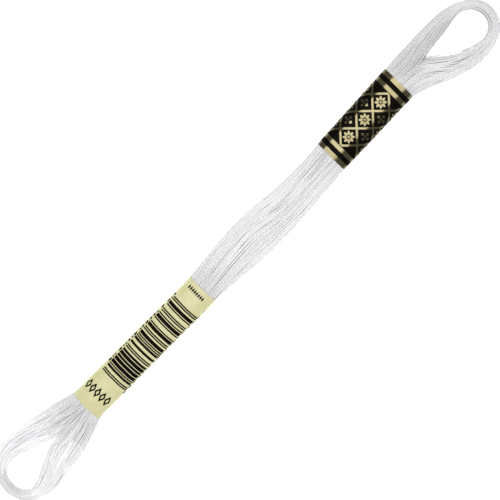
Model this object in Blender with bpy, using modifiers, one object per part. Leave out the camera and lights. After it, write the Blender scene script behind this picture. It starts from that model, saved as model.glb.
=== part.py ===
"""Hank of white six-strand embroidery cotton, held by two paper bands.

The hank lies on its back on a flat surface. +X runs along it toward the black and
gold band, +Y across it and +Z up. The origin is on the surface, under its middle.
The thread runs from the near loop (-X) to the far loop (+X) on the +Y side, turns,
and comes back on the -Y side. The two runs press together between the loops.
"""

import math
from typing import NamedTuple

import bmesh
import bpy

MM = 0.001

# Paper bands
PAPER_THICKNESS = 0.3  # a wall of paper with its glued overlap, in mm
FIT_GAP = 0.4  # between the paper and the thread inside it
SLEEVE_STEP = 5.0  # between the sections of a band
SLEEVE_POINTS = 40  # round a band

# Thread
BED_DEPTH = 0.22  # how far a section is pressed flat where it rests on the surface
SHOULDER = 0.9  # length over which the thread swells where it leaves a band
SHOULDER_START = 0.05  # from the band's end
SHOULDER_SECTIONS = (-0.3, 0.1, 0.5, 0.95)  # beyond a band's end
BODY_STEP = 3.0  # between the sections of the body
LOOP_STEP = 1.7  # between the sections of a loop, half way across the run
CREST_LENGTH = 9.0  # over which a run grows round after it parts from the other
SQUARENESS = 2.3  # exponent of the rounded section; 2 is an ellipse
WAIST = 0.46  # height of a section's widest place, as a share of its thickness
SPREAD = 2.0  # width of a run's section, in heights, for spacing its points
EDGE_SAMPLES = 240  # angles at which the rounded edge is measured

# Groups of threads, which show as ridges
OUTER_RIDGES = 6  # over the crest and the outer side of each run
INNER_RIDGES = 2  # on the side that faces a loop's hole
RIDGE_STEPS = 4  # points from one groove to the next
UNDERSIDE_STEPS = 4  # points across the smooth underside
RIDGED_SHARE = 0.64  # of the way from the crest round to the underside
GROOVE_SHAPE = (1.0, 0.25, 0.0, 0.25)  # depth across one ridge, from its groove
GROOVE_WEIGHTS = (1.2, 0.7, 0.8, 1.35, 0.7, 1.0, 0.6)  # of each groove, from the crest
GROOVE_LEAST = 0.5  # of the full depth, where a groove closes up
GROOVE_LENGTH = 57.0
SWELL_DEPTH = 0.16  # how far a ridge sinks and rises along the hank
SWELL_LENGTH = 34.0
RIDGE_PHASE = 2.4  # from one ridge's waves to the next one's, in radians
TWIST_SHARE = 0.05  # how far the ridges wander round the section
TWIST_LENGTH = 88.0
TWIST_PHASE = 0.8
FADE = (-0.75, 0.6)  # upward share below which the underside is smooth, and its span


class Body(NamedTuple):
    """A section across the two runs, at x: its edges in y, the parting, and sizes."""

    x: float
    low: float
    high: float
    parting: float
    height: float
    groove: float


class Turn(NamedTuple):
    """A section across the run in a loop, from the hole's edge to the outer edge."""

    in_x: float
    in_y: float
    out_x: float
    out_y: float
    height: float
    groove: float


class Sleeve(NamedTuple):
    """A paper band: its name, its ends in x, its material and its colour."""

    name: str
    start: float
    end: float
    material: str
    colour: tuple


BODY = (
    Body(x=-63.8, low=-7.90, high=7.90, parting=-0.10, height=2.8, groove=0.50),
    Body(x=-58.8, low=-7.00, high=6.80, parting=0.10, height=3.3, groove=0.50),
    Body(x=-54.1, low=-5.50, high=5.70, parting=0.20, height=3.9, groove=0.42),
    Body(x=-50.1, low=-4.10, high=4.65, parting=0.20, height=4.3, groove=0.36),
    Body(x=-46.0, low=-4.00, high=4.55, parting=0.20, height=4.4, groove=0.24),
    Body(x=-30.0, low=-3.88, high=4.50, parting=0.25, height=4.4, groove=0.24),
    Body(x=-14.0, low=-3.75, high=4.45, parting=0.30, height=4.4, groove=0.24),
    Body(x=-10.5, low=-3.72, high=4.55, parting=0.55, height=4.4, groove=0.30),
    Body(x=-5.8, low=-3.85, high=5.00, parting=1.60, height=4.6, groove=0.36),
    Body(x=-1.0, low=-4.27, high=5.45, parting=2.45, height=4.8, groove=0.40),
    Body(x=5.5, low=-4.68, high=5.82, parting=3.20, height=5.0, groove=0.42),
    Body(x=10.6, low=-4.74, high=5.62, parting=3.20, height=5.0, groove=0.42),
    Body(x=15.2, low=-4.62, high=5.22, parting=2.90, height=4.9, groove=0.40),
    Body(x=19.8, low=-4.28, high=4.95, parting=2.50, height=4.7, groove=0.36),
    Body(x=24.4, low=-3.95, high=4.78, parting=2.15, height=4.6, groove=0.32),
    Body(x=29.0, low=-3.58, high=4.95, parting=1.95, height=4.5, groove=0.28),
    Body(x=32.0, low=-3.31, high=5.30, parting=1.90, height=4.5, groove=0.24),
    Body(x=43.0, low=-2.96, high=5.85, parting=2.10, height=4.6, groove=0.24),
    Body(x=54.5, low=-2.64, high=6.40, parting=2.35, height=4.5, groove=0.32),
    Body(x=58.0, low=-3.55, high=6.60, parting=2.25, height=4.1, groove=0.42),
    Body(x=63.0, low=-5.90, high=6.75, parting=1.90, height=3.3, groove=0.48),
)

FAR_LOOP = (
    Turn(in_x=63.0, in_y=1.90, out_x=63.0, out_y=6.75, height=3.3, groove=0.48),
    Turn(in_x=66.5, in_y=2.15, out_x=66.6, out_y=6.85, height=3.6, groove=0.36),
    Turn(in_x=70.3, in_y=2.55, out_x=70.6, out_y=6.75, height=3.8, groove=0.34),
    Turn(in_x=73.9, in_y=3.05, out_x=74.8, out_y=6.00, height=4.1, groove=0.32),
    Turn(in_x=76.6, in_y=2.60, out_x=78.6, out_y=3.90, height=4.4, groove=0.32),
    Turn(in_x=77.9, in_y=0.20, out_x=80.9, out_y=0.40, height=4.5, groove=0.32),
    Turn(in_x=77.7, in_y=-2.10, out_x=80.4, out_y=-3.50, height=4.4, groove=0.32),
    Turn(in_x=76.1, in_y=-4.10, out_x=77.8, out_y=-6.60, height=4.1, groove=0.34),
    Turn(in_x=72.9, in_y=-4.35, out_x=73.3, out_y=-7.85, height=3.7, groove=0.42),
    Turn(in_x=69.6, in_y=-3.30, out_x=68.6, out_y=-7.75, height=3.3, groove=0.48),
    Turn(in_x=66.7, in_y=-0.90, out_x=65.3, out_y=-6.80, height=3.1, groove=0.50),
    Turn(in_x=63.0, in_y=1.90, out_x=63.0, out_y=-5.90, height=3.3, groove=0.48),
)

NEAR_LOOP = (
    Turn(in_x=-63.8, in_y=-0.10, out_x=-63.8, out_y=7.90, height=2.8, groove=0.50),
    Turn(in_x=-67.0, in_y=1.95, out_x=-67.9, out_y=8.75, height=2.7, groove=0.50),
    Turn(in_x=-70.7, in_y=3.30, out_x=-72.4, out_y=8.70, height=2.9, groove=0.46),
    Turn(in_x=-74.0, in_y=3.75, out_x=-76.4, out_y=6.95, height=3.4, groove=0.38),
    Turn(in_x=-76.7, in_y=2.80, out_x=-79.6, out_y=3.70, height=4.0, groove=0.32),
    Turn(in_x=-77.6, in_y=0.00, out_x=-81.0, out_y=-0.20, height=4.2, groove=0.32),
    Turn(in_x=-77.2, in_y=-2.90, out_x=-79.9, out_y=-4.30, height=4.1, groove=0.32),
    Turn(in_x=-75.0, in_y=-5.00, out_x=-76.6, out_y=-7.60, height=3.7, groove=0.36),
    Turn(in_x=-71.4, in_y=-4.20, out_x=-72.2, out_y=-8.80, height=3.2, groove=0.44),
    Turn(in_x=-68.0, in_y=-2.10, out_x=-67.9, out_y=-8.65, height=2.9, groove=0.50),
    Turn(in_x=-63.8, in_y=-0.10, out_x=-63.8, out_y=-7.90, height=2.8, groove=0.50),
)

SLEEVES = (
    Sleeve("wide_sleeve", 32.0, 54.5, "black_gold_paper", (0.03, 0.03, 0.03)),
    Sleeve("label_sleeve", -50.1, -10.5, "cream_paper", (0.72, 0.68, 0.42)),
)

FLOSS_COLOUR = (0.86, 0.87, 0.88)
COLLECTION = "embroidery_floss_hank"


def hermite(a, b, slope_a, slope_b, span, t):
    """The cubic from a to b over span, with the slopes given at its ends."""
    t2 = t * t
    t3 = t2 * t
    start = (2 * t3 - 3 * t2 + 1) * a + (t3 - 2 * t2 + t) * span * slope_a
    return start + (3 * t2 - 2 * t3) * b + (t3 - t2) * span * slope_b


def between(rows, places, i, t):
    """The row at share t of the way from row i to row i + 1, on a smooth curve."""

    def slope(k, column):
        before = max(k - 1, 0)
        after = min(k + 1, len(rows) - 1)
        rise = rows[after][column] - rows[before][column]
        return rise / (places[after] - places[before])

    span = places[i + 1] - places[i]
    values = (
        hermite(rows[i][c], rows[i + 1][c], slope(i, c), slope(i + 1, c), span, t)
        for c in range(len(rows[0]))
    )
    return type(rows[0])(*values)


def body_at(x):
    """The body's section at x, without the bands' pinch."""
    places = [row.x for row in BODY]
    i = max(k for k in range(len(BODY) - 1) if places[k] <= x)
    return between(BODY, places, i, (x - places[i]) / (places[i + 1] - places[i]))


def ease(t):
    """0 to 1 with flat ends, for t from 0 to 1."""
    t = min(max(t, 0.0), 1.0)
    return t * t * (3 - 2 * t)


def pinch(x):
    """How far the thread is drawn in at x to lie inside a band."""
    beyond = min(max(s.start - x, x - s.end) for s in SLEEVES)
    drawn = 1 - ease((beyond - SHOULDER_START) / SHOULDER)
    return (PAPER_THICKNESS + FIT_GAP) * drawn


def rounded(angle):
    """Across and upward shares, 0 to 1, of a section's rounded edge at an angle."""
    power = 2 / SQUARENESS
    across = abs(math.cos(angle)) ** power
    up = math.copysign(abs(math.sin(angle)) ** power, math.sin(angle))
    return across, up


def measured_edge():
    """Angles down the rounded edge, each with its share of the way along the edge."""
    angles = [math.pi * (0.5 - k / EDGE_SAMPLES) for k in range(EDGE_SAMPLES + 1)]
    points = [(SPREAD * rounded(a)[0], rounded(a)[1]) for a in angles]
    ways = [0.0]
    for a, b in zip(points, points[1:]):
        ways.append(ways[-1] + math.dist(a, b))
    return [(way / ways[-1], angle) for way, angle in zip(ways, angles)]


EDGE = measured_edge()


def edge_angle(share):
    """The angle at this share of the way from the crest down to the underside."""
    k = min(max(i for i, (way, _) in enumerate(EDGE) if way <= share), EDGE_SAMPLES - 1)
    (before, start), (after, end) = EDGE[k : k + 2]
    return start + (end - start) * (share - before) / (after - before)


def chain_shares():
    """Shares of the way from the crest, over the outer side, to the underside."""
    ridged = OUTER_RIDGES * RIDGE_STEPS
    shares = [RIDGED_SHARE * k / ridged for k in range(ridged)]
    rest = 1 - RIDGED_SHARE
    shares += [
        RIDGED_SHARE + rest * k / UNDERSIDE_STEPS for k in range(UNDERSIDE_STEPS + 1)
    ]
    return shares


def wave(ridge, along, length):
    """A slow wave from 0 to 1 along the thread, with another phase on each ridge."""
    return 0.5 + 0.5 * math.sin(math.tau * along / length + RIDGE_PHASE * ridge)


def groove_share(k, ridges, along):
    """Depth at point k of a chain of ridges: 1 in a groove and 0 on a crest."""
    ridge, step = divmod(k, RIDGE_STEPS)
    if k > ridges * RIDGE_STEPS:
        return 0.0
    weight = GROOVE_WEIGHTS[(k + RIDGE_STEPS // 2) // RIDGE_STEPS]
    uneven = GROOVE_LEAST + (1 - GROOVE_LEAST) * wave(ridge, along, GROOVE_LENGTH)
    return GROOVE_SHAPE[step] * weight * uneven


def fade(up):
    """1 on a section's upper part and 0 on its underside, which stays smooth."""
    least, span = FADE
    return ease((up - least) / span)


class Section(NamedTuple):
    """A run's section: its ends in plan, its crest's share across, and its sizes."""

    inner: tuple
    outer: tuple
    crest: float
    base: float
    top: float
    groove: float
    along: float
    side: float


def section_point(s, across, up, sunk):
    """The point of section s at shares across and up, sunk toward its middle."""
    waist = s.base + WAIST * (s.top - s.base)
    reach = waist - s.base if up < 0 else s.top - waist
    width = math.dist(s.inner, s.outer)
    middle = max(s.crest, 0.25)
    from_middle = (across - middle) * width
    rise = up * reach
    length = math.hypot(from_middle, rise) or 1.0
    keep = max(1 - sunk / length, 0.0)
    share = middle + (across - middle) * keep
    x = s.inner[0] + (s.outer[0] - s.inner[0]) * share
    y = s.inner[1] + (s.outer[1] - s.inner[1]) * share
    z = waist + rise * keep - (0 if s.base else BED_DEPTH)
    return x, y, max(z, 0.0)


def outer_chain(s):
    """Points from the crest over the outer side to the underside."""
    points = []
    turn = math.sin(math.tau * s.along / TWIST_LENGTH + TWIST_PHASE)
    for k, share in enumerate(chain_shares()):
        turned = share + TWIST_SHARE * s.side * turn * math.sin(math.pi * share)
        across, up = rounded(edge_angle(turned))
        across = s.crest + (1 - s.crest) * across
        groove = s.groove * groove_share(k, OUTER_RIDGES, s.along)
        swell = SWELL_DEPTH * wave(k // RIDGE_STEPS, s.along, SWELL_LENGTH)
        points.append(section_point(s, across, up, (groove + swell) * fade(up)))
    return points


def inner_chain(s):
    """Points from the underside, over the side at the hole, to the crest."""
    points = []
    steps = INNER_RIDGES * RIDGE_STEPS
    for k in range(1, steps):
        across, up = rounded(math.pi * (k / steps - 0.5))
        across = s.crest * (1 - across)
        groove = s.groove * groove_share(k, INNER_RIDGES, s.along)
        points.append(section_point(s, across, up, groove * fade(up) * 2 * s.crest))
    return points


def body_stations():
    """Places in x of the body's sections, closer together at the bands' ends."""
    first, last = BODY[0].x, BODY[-1].x
    count = round((last - first) / BODY_STEP)
    near = [s.start - beyond for s in SLEEVES for beyond in SHOULDER_SECTIONS]
    near += [s.end + beyond for s in SLEEVES for beyond in SHOULDER_SECTIONS]
    places = [first + (last - first) * k / count for k in range(count + 1)]
    apart = [x for x in places if min(abs(x - n) for n in near) > BODY_STEP / 3]
    return sorted(apart + near)


def body_halves(x):
    """The sections of the two runs at x, +Y side first."""
    row = body_at(x)
    inset = pinch(x)
    base = inset
    top = row.height - inset
    parting = (x, row.parting)
    ends = ((x, row.high - inset), (x, row.low + inset))
    return [
        Section(parting, end, 0.0, base, top, row.groove, x, side)
        for end, side in zip(ends, (1, -1))
    ]


def loop_sections(rows):
    """Sections round a loop, between its first and last rows, which the body has."""
    places = [0.0]
    for a, b in zip(rows, rows[1:]):
        ways = math.dist(a[:2], b[:2]), math.dist(a[2:4], b[2:4])
        places.append(places[-1] + sum(ways) / 2)
    sections = []
    for i in range(len(rows) - 1):
        span = places[i + 1] - places[i]
        steps = round(span / LOOP_STEP)
        for k in range(steps):
            place = places[i] + span * k / steps
            row = between(rows, places, i, k / steps)
            from_end = min(place, places[-1] - place)
            crest = 0.5 * ease(from_end / CREST_LENGTH)
            along = rows[0].in_x + math.copysign(from_end, rows[0].in_x)
            side = 1 - 2 * place / places[-1]
            ends = row[:2], row[2:4]
            sections.append(
                Section(*ends, crest, 0.0, row.height, row.groove, along, side)
            )
    return sections[1:]


def add_points(mesh, points):
    """New vertices of the mesh at the points, which are in mm."""
    return [mesh.verts.new([MM * v for v in p]) for p in points]


def bridge(mesh, first, second, closed=False):
    """Faces between two rows of as many vertices."""
    pairs = list(zip(first, second))
    if closed:
        pairs.append(pairs[0])
    for (a, b), (c, d) in zip(pairs, pairs[1:]):
        mesh.faces.new((a, b, d, c))


def add_halves(mesh, x):
    """Vertices of the body's section at x: its two rows share the parting's ends."""
    far, near = (outer_chain(s) for s in body_halves(x))
    far_row = add_points(mesh, far)
    near_row = [far_row[0]] + add_points(mesh, near[1:-1]) + [far_row[-1]]
    return far_row, near_row


def add_loop(mesh, rows, halves):
    """A loop from the far row of the body's end section round to its near row."""
    end = body_halves(rows[0].in_x)[0]
    shared = add_points(mesh, inner_chain(end))
    rings = [halves[0] + shared]
    for section in loop_sections(rows):
        rings.append(add_points(mesh, outer_chain(section) + inner_chain(section)))
    rings.append(halves[1] + shared)
    for first, second in zip(rings, rings[1:]):
        bridge(mesh, first, second, closed=True)


def material(name, colour, roughness, metallic=0.0):
    """A Principled material."""
    made = bpy.data.materials.new(name)
    made.use_nodes = True
    shader = made.node_tree.nodes["Principled BSDF"]
    shader.inputs["Base Color"].default_value = (*colour, 1.0)
    shader.inputs["Roughness"].default_value = roughness
    shader.inputs["Metallic"].default_value = metallic
    made.diffuse_color = (*colour, 1.0)
    return made


def add_object(name, mesh, finish, group):
    """A smooth-shaded object of the mesh, in the group's collection."""
    bmesh.ops.recalc_face_normals(mesh, faces=mesh.faces)
    data = bpy.data.meshes.new(name)
    mesh.to_mesh(data)
    mesh.free()
    data.shade_smooth()
    data.materials.append(finish)
    made = bpy.data.objects.new(name, data)
    group.objects.link(made)
    return made


def make_hank(group):
    """The floss: two runs pressed together, open in a loop at each end."""
    mesh = bmesh.new()
    halves = [add_halves(mesh, x) for x in body_stations()]
    for first, second in zip(halves, halves[1:]):
        bridge(mesh, first[0], second[0])
        bridge(mesh, first[1], second[1])
    add_loop(mesh, NEAR_LOOP, halves[0])
    add_loop(mesh, FAR_LOOP, halves[-1])
    return add_object("floss_hank", mesh, material("floss", FLOSS_COLOUR, 0.55), group)


def sleeve_ring(x):
    """Points round a band's outside at x: an oval that is flat where it rests."""
    row = body_at(x)
    middle = (row.low + row.high) / 2
    half = (row.high - row.low) / 2
    waist = WAIST * row.height
    points = []
    for k in range(SLEEVE_POINTS):
        angle = math.tau * (k + 0.5) / SLEEVE_POINTS
        across, up = rounded(angle)
        reach = waist if up < 0 else row.height - waist
        y = middle + math.copysign(half * across, math.cos(angle))
        points.append((x, y, max(waist + reach * up - BED_DEPTH, 0.0)))
    return points


def make_sleeve(sleeve, group):
    """A paper band: an open tube with a wall added on its inside."""
    mesh = bmesh.new()
    steps = round((sleeve.end - sleeve.start) / SLEEVE_STEP)
    places = [
        sleeve.start + (sleeve.end - sleeve.start) * k / steps for k in range(steps + 1)
    ]
    rings = [add_points(mesh, sleeve_ring(x)) for x in places]
    for first, second in zip(rings, rings[1:]):
        bridge(mesh, first, second, closed=True)
    finish = material(sleeve.material, sleeve.colour, 0.4)
    made = add_object(sleeve.name, mesh, finish, group)
    wall = made.modifiers.new("wall", "SOLIDIFY")
    wall.thickness = PAPER_THICKNESS * MM
    wall.offset = -1
    wall.use_even_offset = True
    return made


def main():
    """Clears the scene and makes the hank and its two bands."""
    for old in list(bpy.data.objects):
        bpy.data.objects.remove(old)
    group = bpy.data.collections.new(COLLECTION)
    bpy.context.scene.collection.children.link(group)
    make_hank(group)
    for sleeve in SLEEVES:
        make_sleeve(sleeve, group)


main()
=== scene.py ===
"""Looks of a hank of white six-strand embroidery cotton held by two paper bands.

The hank lies on its back. +X runs along it toward the black and gold band, +Y across it
and +Z up. Lengths are in millimetres, and turn into metres where a mesh, a lamp or the
camera is made. The thread runs round a ring: up the +Y run, round the far loop, back
down the -Y run and round the near loop. Every one of its turns is made of six strands.
"""

import logging
import math
from dataclasses import dataclass
from enum import IntEnum
from typing import NamedTuple

import bpy
import numpy as np
from mathutils import Matrix, Vector
from mathutils.geometry import delaunay_2d_cdt


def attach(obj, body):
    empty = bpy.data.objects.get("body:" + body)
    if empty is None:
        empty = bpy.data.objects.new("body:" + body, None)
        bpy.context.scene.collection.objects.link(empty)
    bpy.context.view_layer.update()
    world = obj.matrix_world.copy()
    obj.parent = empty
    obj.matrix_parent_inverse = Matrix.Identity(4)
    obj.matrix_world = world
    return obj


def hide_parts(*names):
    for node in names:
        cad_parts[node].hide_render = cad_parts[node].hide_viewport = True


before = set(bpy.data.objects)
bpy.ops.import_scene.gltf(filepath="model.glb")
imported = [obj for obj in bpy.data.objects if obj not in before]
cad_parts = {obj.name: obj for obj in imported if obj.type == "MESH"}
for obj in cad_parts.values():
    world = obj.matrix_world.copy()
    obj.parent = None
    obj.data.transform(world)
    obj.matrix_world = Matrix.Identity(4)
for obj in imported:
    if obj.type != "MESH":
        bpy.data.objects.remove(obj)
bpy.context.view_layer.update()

MM = 0.001
TINY = 1e-9
WELD = 1e-4
BODY_NAME = "root"
LOG = logging.getLogger("hank")


class BodyRow(NamedTuple):
    """A section across both runs, at x: its edges in y, its parting and its height.

    The parting is the y of its highest line. The lean is how far the line between the two
    runs lies from the middle of the section's area toward +Y, as a share of that area.
    """

    x: float
    low: float
    high: float
    parting: float
    height: float
    lean: float = 0.0


class TurnRow(NamedTuple):
    """A section across the run in a loop, from a point on its hole to one on its edge.

    The spill is how far stray strands hang into its hole, and sparse how much thinner
    the thread lies on that side.
    """

    in_x: float
    in_y: float
    out_x: float
    out_y: float
    height: float
    spill: float = 0.0
    sparse: float = 0.0


BODY = (
    BodyRow(x=-58.8, low=-7.00, high=6.80, parting=0.10, height=2.4),
    BodyRow(x=-54.1, low=-5.50, high=5.70, parting=0.20, height=3.2),
    BodyRow(x=-50.1, low=-4.10, high=4.65, parting=0.20, height=4.3),
    BodyRow(x=-46.0, low=-4.00, high=4.55, parting=0.20, height=4.4),
    BodyRow(x=-30.0, low=-3.88, high=4.50, parting=0.25, height=4.4),
    BodyRow(x=-14.0, low=-3.75, high=4.45, parting=0.30, height=4.4),
    BodyRow(x=-10.5, low=-3.72, high=4.55, parting=0.55, height=4.4),
    BodyRow(x=-5.8, low=-3.85, high=5.00, parting=1.60, height=4.6, lean=0.05),
    BodyRow(x=-1.0, low=-4.27, high=5.45, parting=2.45, height=4.8, lean=0.12),
    BodyRow(x=5.5, low=-4.68, high=5.82, parting=3.20, height=5.0, lean=0.17),
    BodyRow(x=10.6, low=-4.74, high=5.62, parting=3.20, height=5.0, lean=0.1),
    BodyRow(x=15.2, low=-4.62, high=5.22, parting=2.90, height=4.9, lean=-0.03),
    BodyRow(x=19.8, low=-4.28, high=4.95, parting=2.50, height=4.7, lean=-0.03),
    BodyRow(x=24.4, low=-3.95, high=4.78, parting=2.15, height=4.6),
    BodyRow(x=29.0, low=-3.58, high=4.95, parting=1.95, height=4.5),
    BodyRow(x=32.0, low=-3.31, high=5.30, parting=1.90, height=4.5),
    BodyRow(x=43.0, low=-2.96, high=5.85, parting=2.10, height=4.6),
    BodyRow(x=54.5, low=-2.64, high=6.40, parting=2.35, height=4.5),
    BodyRow(x=56.0, low=-2.95, high=6.50, parting=2.30, height=4.3),
)

FAR_LOOP = (
    TurnRow(in_x=56.0, in_y=2.30, out_x=56.0, out_y=6.50, height=4.3),
    TurnRow(in_x=59.5, in_y=1.30, out_x=59.5, out_y=6.68, height=3.8),
    TurnRow(in_x=63.0, in_y=1.70, out_x=63.0, out_y=6.75, height=3.4),
    TurnRow(in_x=66.5, in_y=2.15, out_x=66.6, out_y=6.85, height=3.6, spill=0.1),
    TurnRow(in_x=70.3, in_y=2.65, out_x=70.6, out_y=6.75, height=3.8, spill=0.2),
    TurnRow(in_x=73.9, in_y=3.35, out_x=74.8, out_y=6.00, height=3.7, spill=0.3, sparse=0.05),
    TurnRow(in_x=76.5, in_y=2.80, out_x=78.6, out_y=3.90, height=3.6, spill=0.4, sparse=0.15),
    TurnRow(in_x=77.9, in_y=0.20, out_x=80.9, out_y=0.40, height=3.5, spill=0.4, sparse=0.25),
    TurnRow(in_x=77.6, in_y=-2.20, out_x=80.4, out_y=-3.50, height=3.5, spill=0.4, sparse=0.25),
    TurnRow(in_x=76.1, in_y=-3.90, out_x=77.8, out_y=-6.60, height=3.5, spill=0.3, sparse=0.2),
    TurnRow(in_x=73.2, in_y=-3.60, out_x=73.3, out_y=-7.85, height=3.4, spill=0.3, sparse=0.2),
    TurnRow(in_x=70.2, in_y=-1.50, out_x=68.9, out_y=-7.78, height=2.8, spill=0.2, sparse=0.3),
    TurnRow(in_x=66.8, in_y=0.90, out_x=65.6, out_y=-6.90, height=2.5, spill=0.1, sparse=0.3),
    TurnRow(in_x=63.4, in_y=2.90, out_x=62.6, out_y=-5.75, height=2.8, sparse=0.2),
    TurnRow(in_x=59.5, in_y=3.30, out_x=59.4, out_y=-4.25, height=3.4),
    TurnRow(in_x=56.0, in_y=2.30, out_x=56.0, out_y=-2.95, height=4.3),
)

NEAR_LOOP = (
    TurnRow(in_x=-58.8, in_y=0.10, out_x=-58.8, out_y=6.80, height=2.4),
    TurnRow(in_x=-61.6, in_y=-0.50, out_x=-61.8, out_y=7.45, height=2.0, spill=0.1),
    TurnRow(in_x=-64.6, in_y=0.10, out_x=-65.1, out_y=8.20, height=1.75, spill=0.2, sparse=0.05),
    TurnRow(in_x=-67.6, in_y=0.95, out_x=-68.6, out_y=8.75, height=1.75, spill=0.2, sparse=0.05),
    TurnRow(in_x=-70.9, in_y=2.20, out_x=-72.6, out_y=8.70, height=1.9, spill=0.3, sparse=0.1),
    TurnRow(in_x=-74.0, in_y=3.40, out_x=-76.6, out_y=6.90, height=2.4, spill=0.4, sparse=0.1),
    TurnRow(in_x=-76.7, in_y=2.70, out_x=-79.3, out_y=3.60, height=2.8, spill=0.4, sparse=0.15),
    TurnRow(in_x=-77.7, in_y=0.00, out_x=-80.3, out_y=-0.20, height=2.8, spill=0.4, sparse=0.15),
    TurnRow(in_x=-77.2, in_y=-2.80, out_x=-79.4, out_y=-4.30, height=2.8, spill=0.4, sparse=0.15),
    TurnRow(in_x=-74.8, in_y=-4.30, out_x=-76.5, out_y=-7.60, height=2.6, spill=0.4, sparse=0.1),
    TurnRow(in_x=-71.4, in_y=-2.60, out_x=-72.2, out_y=-8.80, height=2.1, spill=0.5),
    TurnRow(in_x=-68.0, in_y=-0.50, out_x=-67.9, out_y=-8.65, height=1.8, spill=0.3),
    TurnRow(in_x=-64.8, in_y=0.70, out_x=-64.7, out_y=-8.10, height=1.75, spill=0.2),
    TurnRow(in_x=-61.7, in_y=0.90, out_x=-61.7, out_y=-7.45, height=2.0, spill=0.1),
    TurnRow(in_x=-58.8, in_y=0.10, out_x=-58.8, out_y=-7.00, height=2.4),
)


def ease(t: np.ndarray | float) -> np.ndarray | float:
    """0 to 1 with flat ends, for t from 0 to 1."""
    t = np.clip(t, 0.0, 1.0)
    return t * t * (3 - 2 * t)


def smooth_rows(rows: np.ndarray, places: np.ndarray, at: np.ndarray) -> np.ndarray:
    """Rows of a table between its own rows, on smooth curves through them.

    Args:
        rows: the table, one row a section.
        places: where each row stands along the run.
        at: places at which rows are wanted.

    Returns:
        One row for each place in at.
    """
    count = len(rows)
    before = np.maximum(np.arange(count) - 1, 0)
    after = np.minimum(np.arange(count) + 1, count - 1)
    slopes = (rows[after] - rows[before]) / (places[after] - places[before])[:, None]
    i = np.clip(np.searchsorted(places, at, side="right") - 1, 0, count - 2)
    span = (places[i + 1] - places[i])[:, None]
    t = ((at - places[i])[:, None]) / span
    start = (2 * t**3 - 3 * t**2 + 1) * rows[i] + (t**3 - 2 * t**2 + t) * span * slopes[i]
    return start + (3 * t**2 - 2 * t**3) * rows[i + 1] + (t**3 - t**2) * span * slopes[i + 1]


def polyline_ways(points: np.ndarray) -> np.ndarray:
    """Length along a row of points at each of them."""
    steps = np.linalg.norm(np.diff(points, axis=0), axis=1)
    return np.concatenate(([0.0], np.cumsum(steps)))


class Fade(NamedTuple):
    """A soft step along the hank: its start and its length, below 0 if it goes toward -X."""

    start: float
    length: float

    def at(self, x: np.ndarray) -> np.ndarray:
        """0 before the step and 1 after it."""
        return ease((x - self.start) / self.length)


class Sections(NamedTuple):
    """Sections of the thread's run, one row each, from its inner to its outer edge.

    Inner and outer are the edges in plan. The crest is where the section is highest, as a
    share of the way across, and left and right are the spans in which its height falls to
    either side. Open_side is 1 where the inner edge is a loop's hole. Side goes from 1 on
    the +Y run to -1 on the -Y run, held is 1 under a band, and loose is how far the
    strands spread. Spill and sparse are as in TurnRow.
    """

    inner: np.ndarray
    outer: np.ndarray
    height: np.ndarray
    crest: np.ndarray
    left: np.ndarray
    right: np.ndarray
    open_side: np.ndarray
    spill: np.ndarray
    sparse: np.ndarray
    side: np.ndarray
    held: np.ndarray
    loose: np.ndarray


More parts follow.
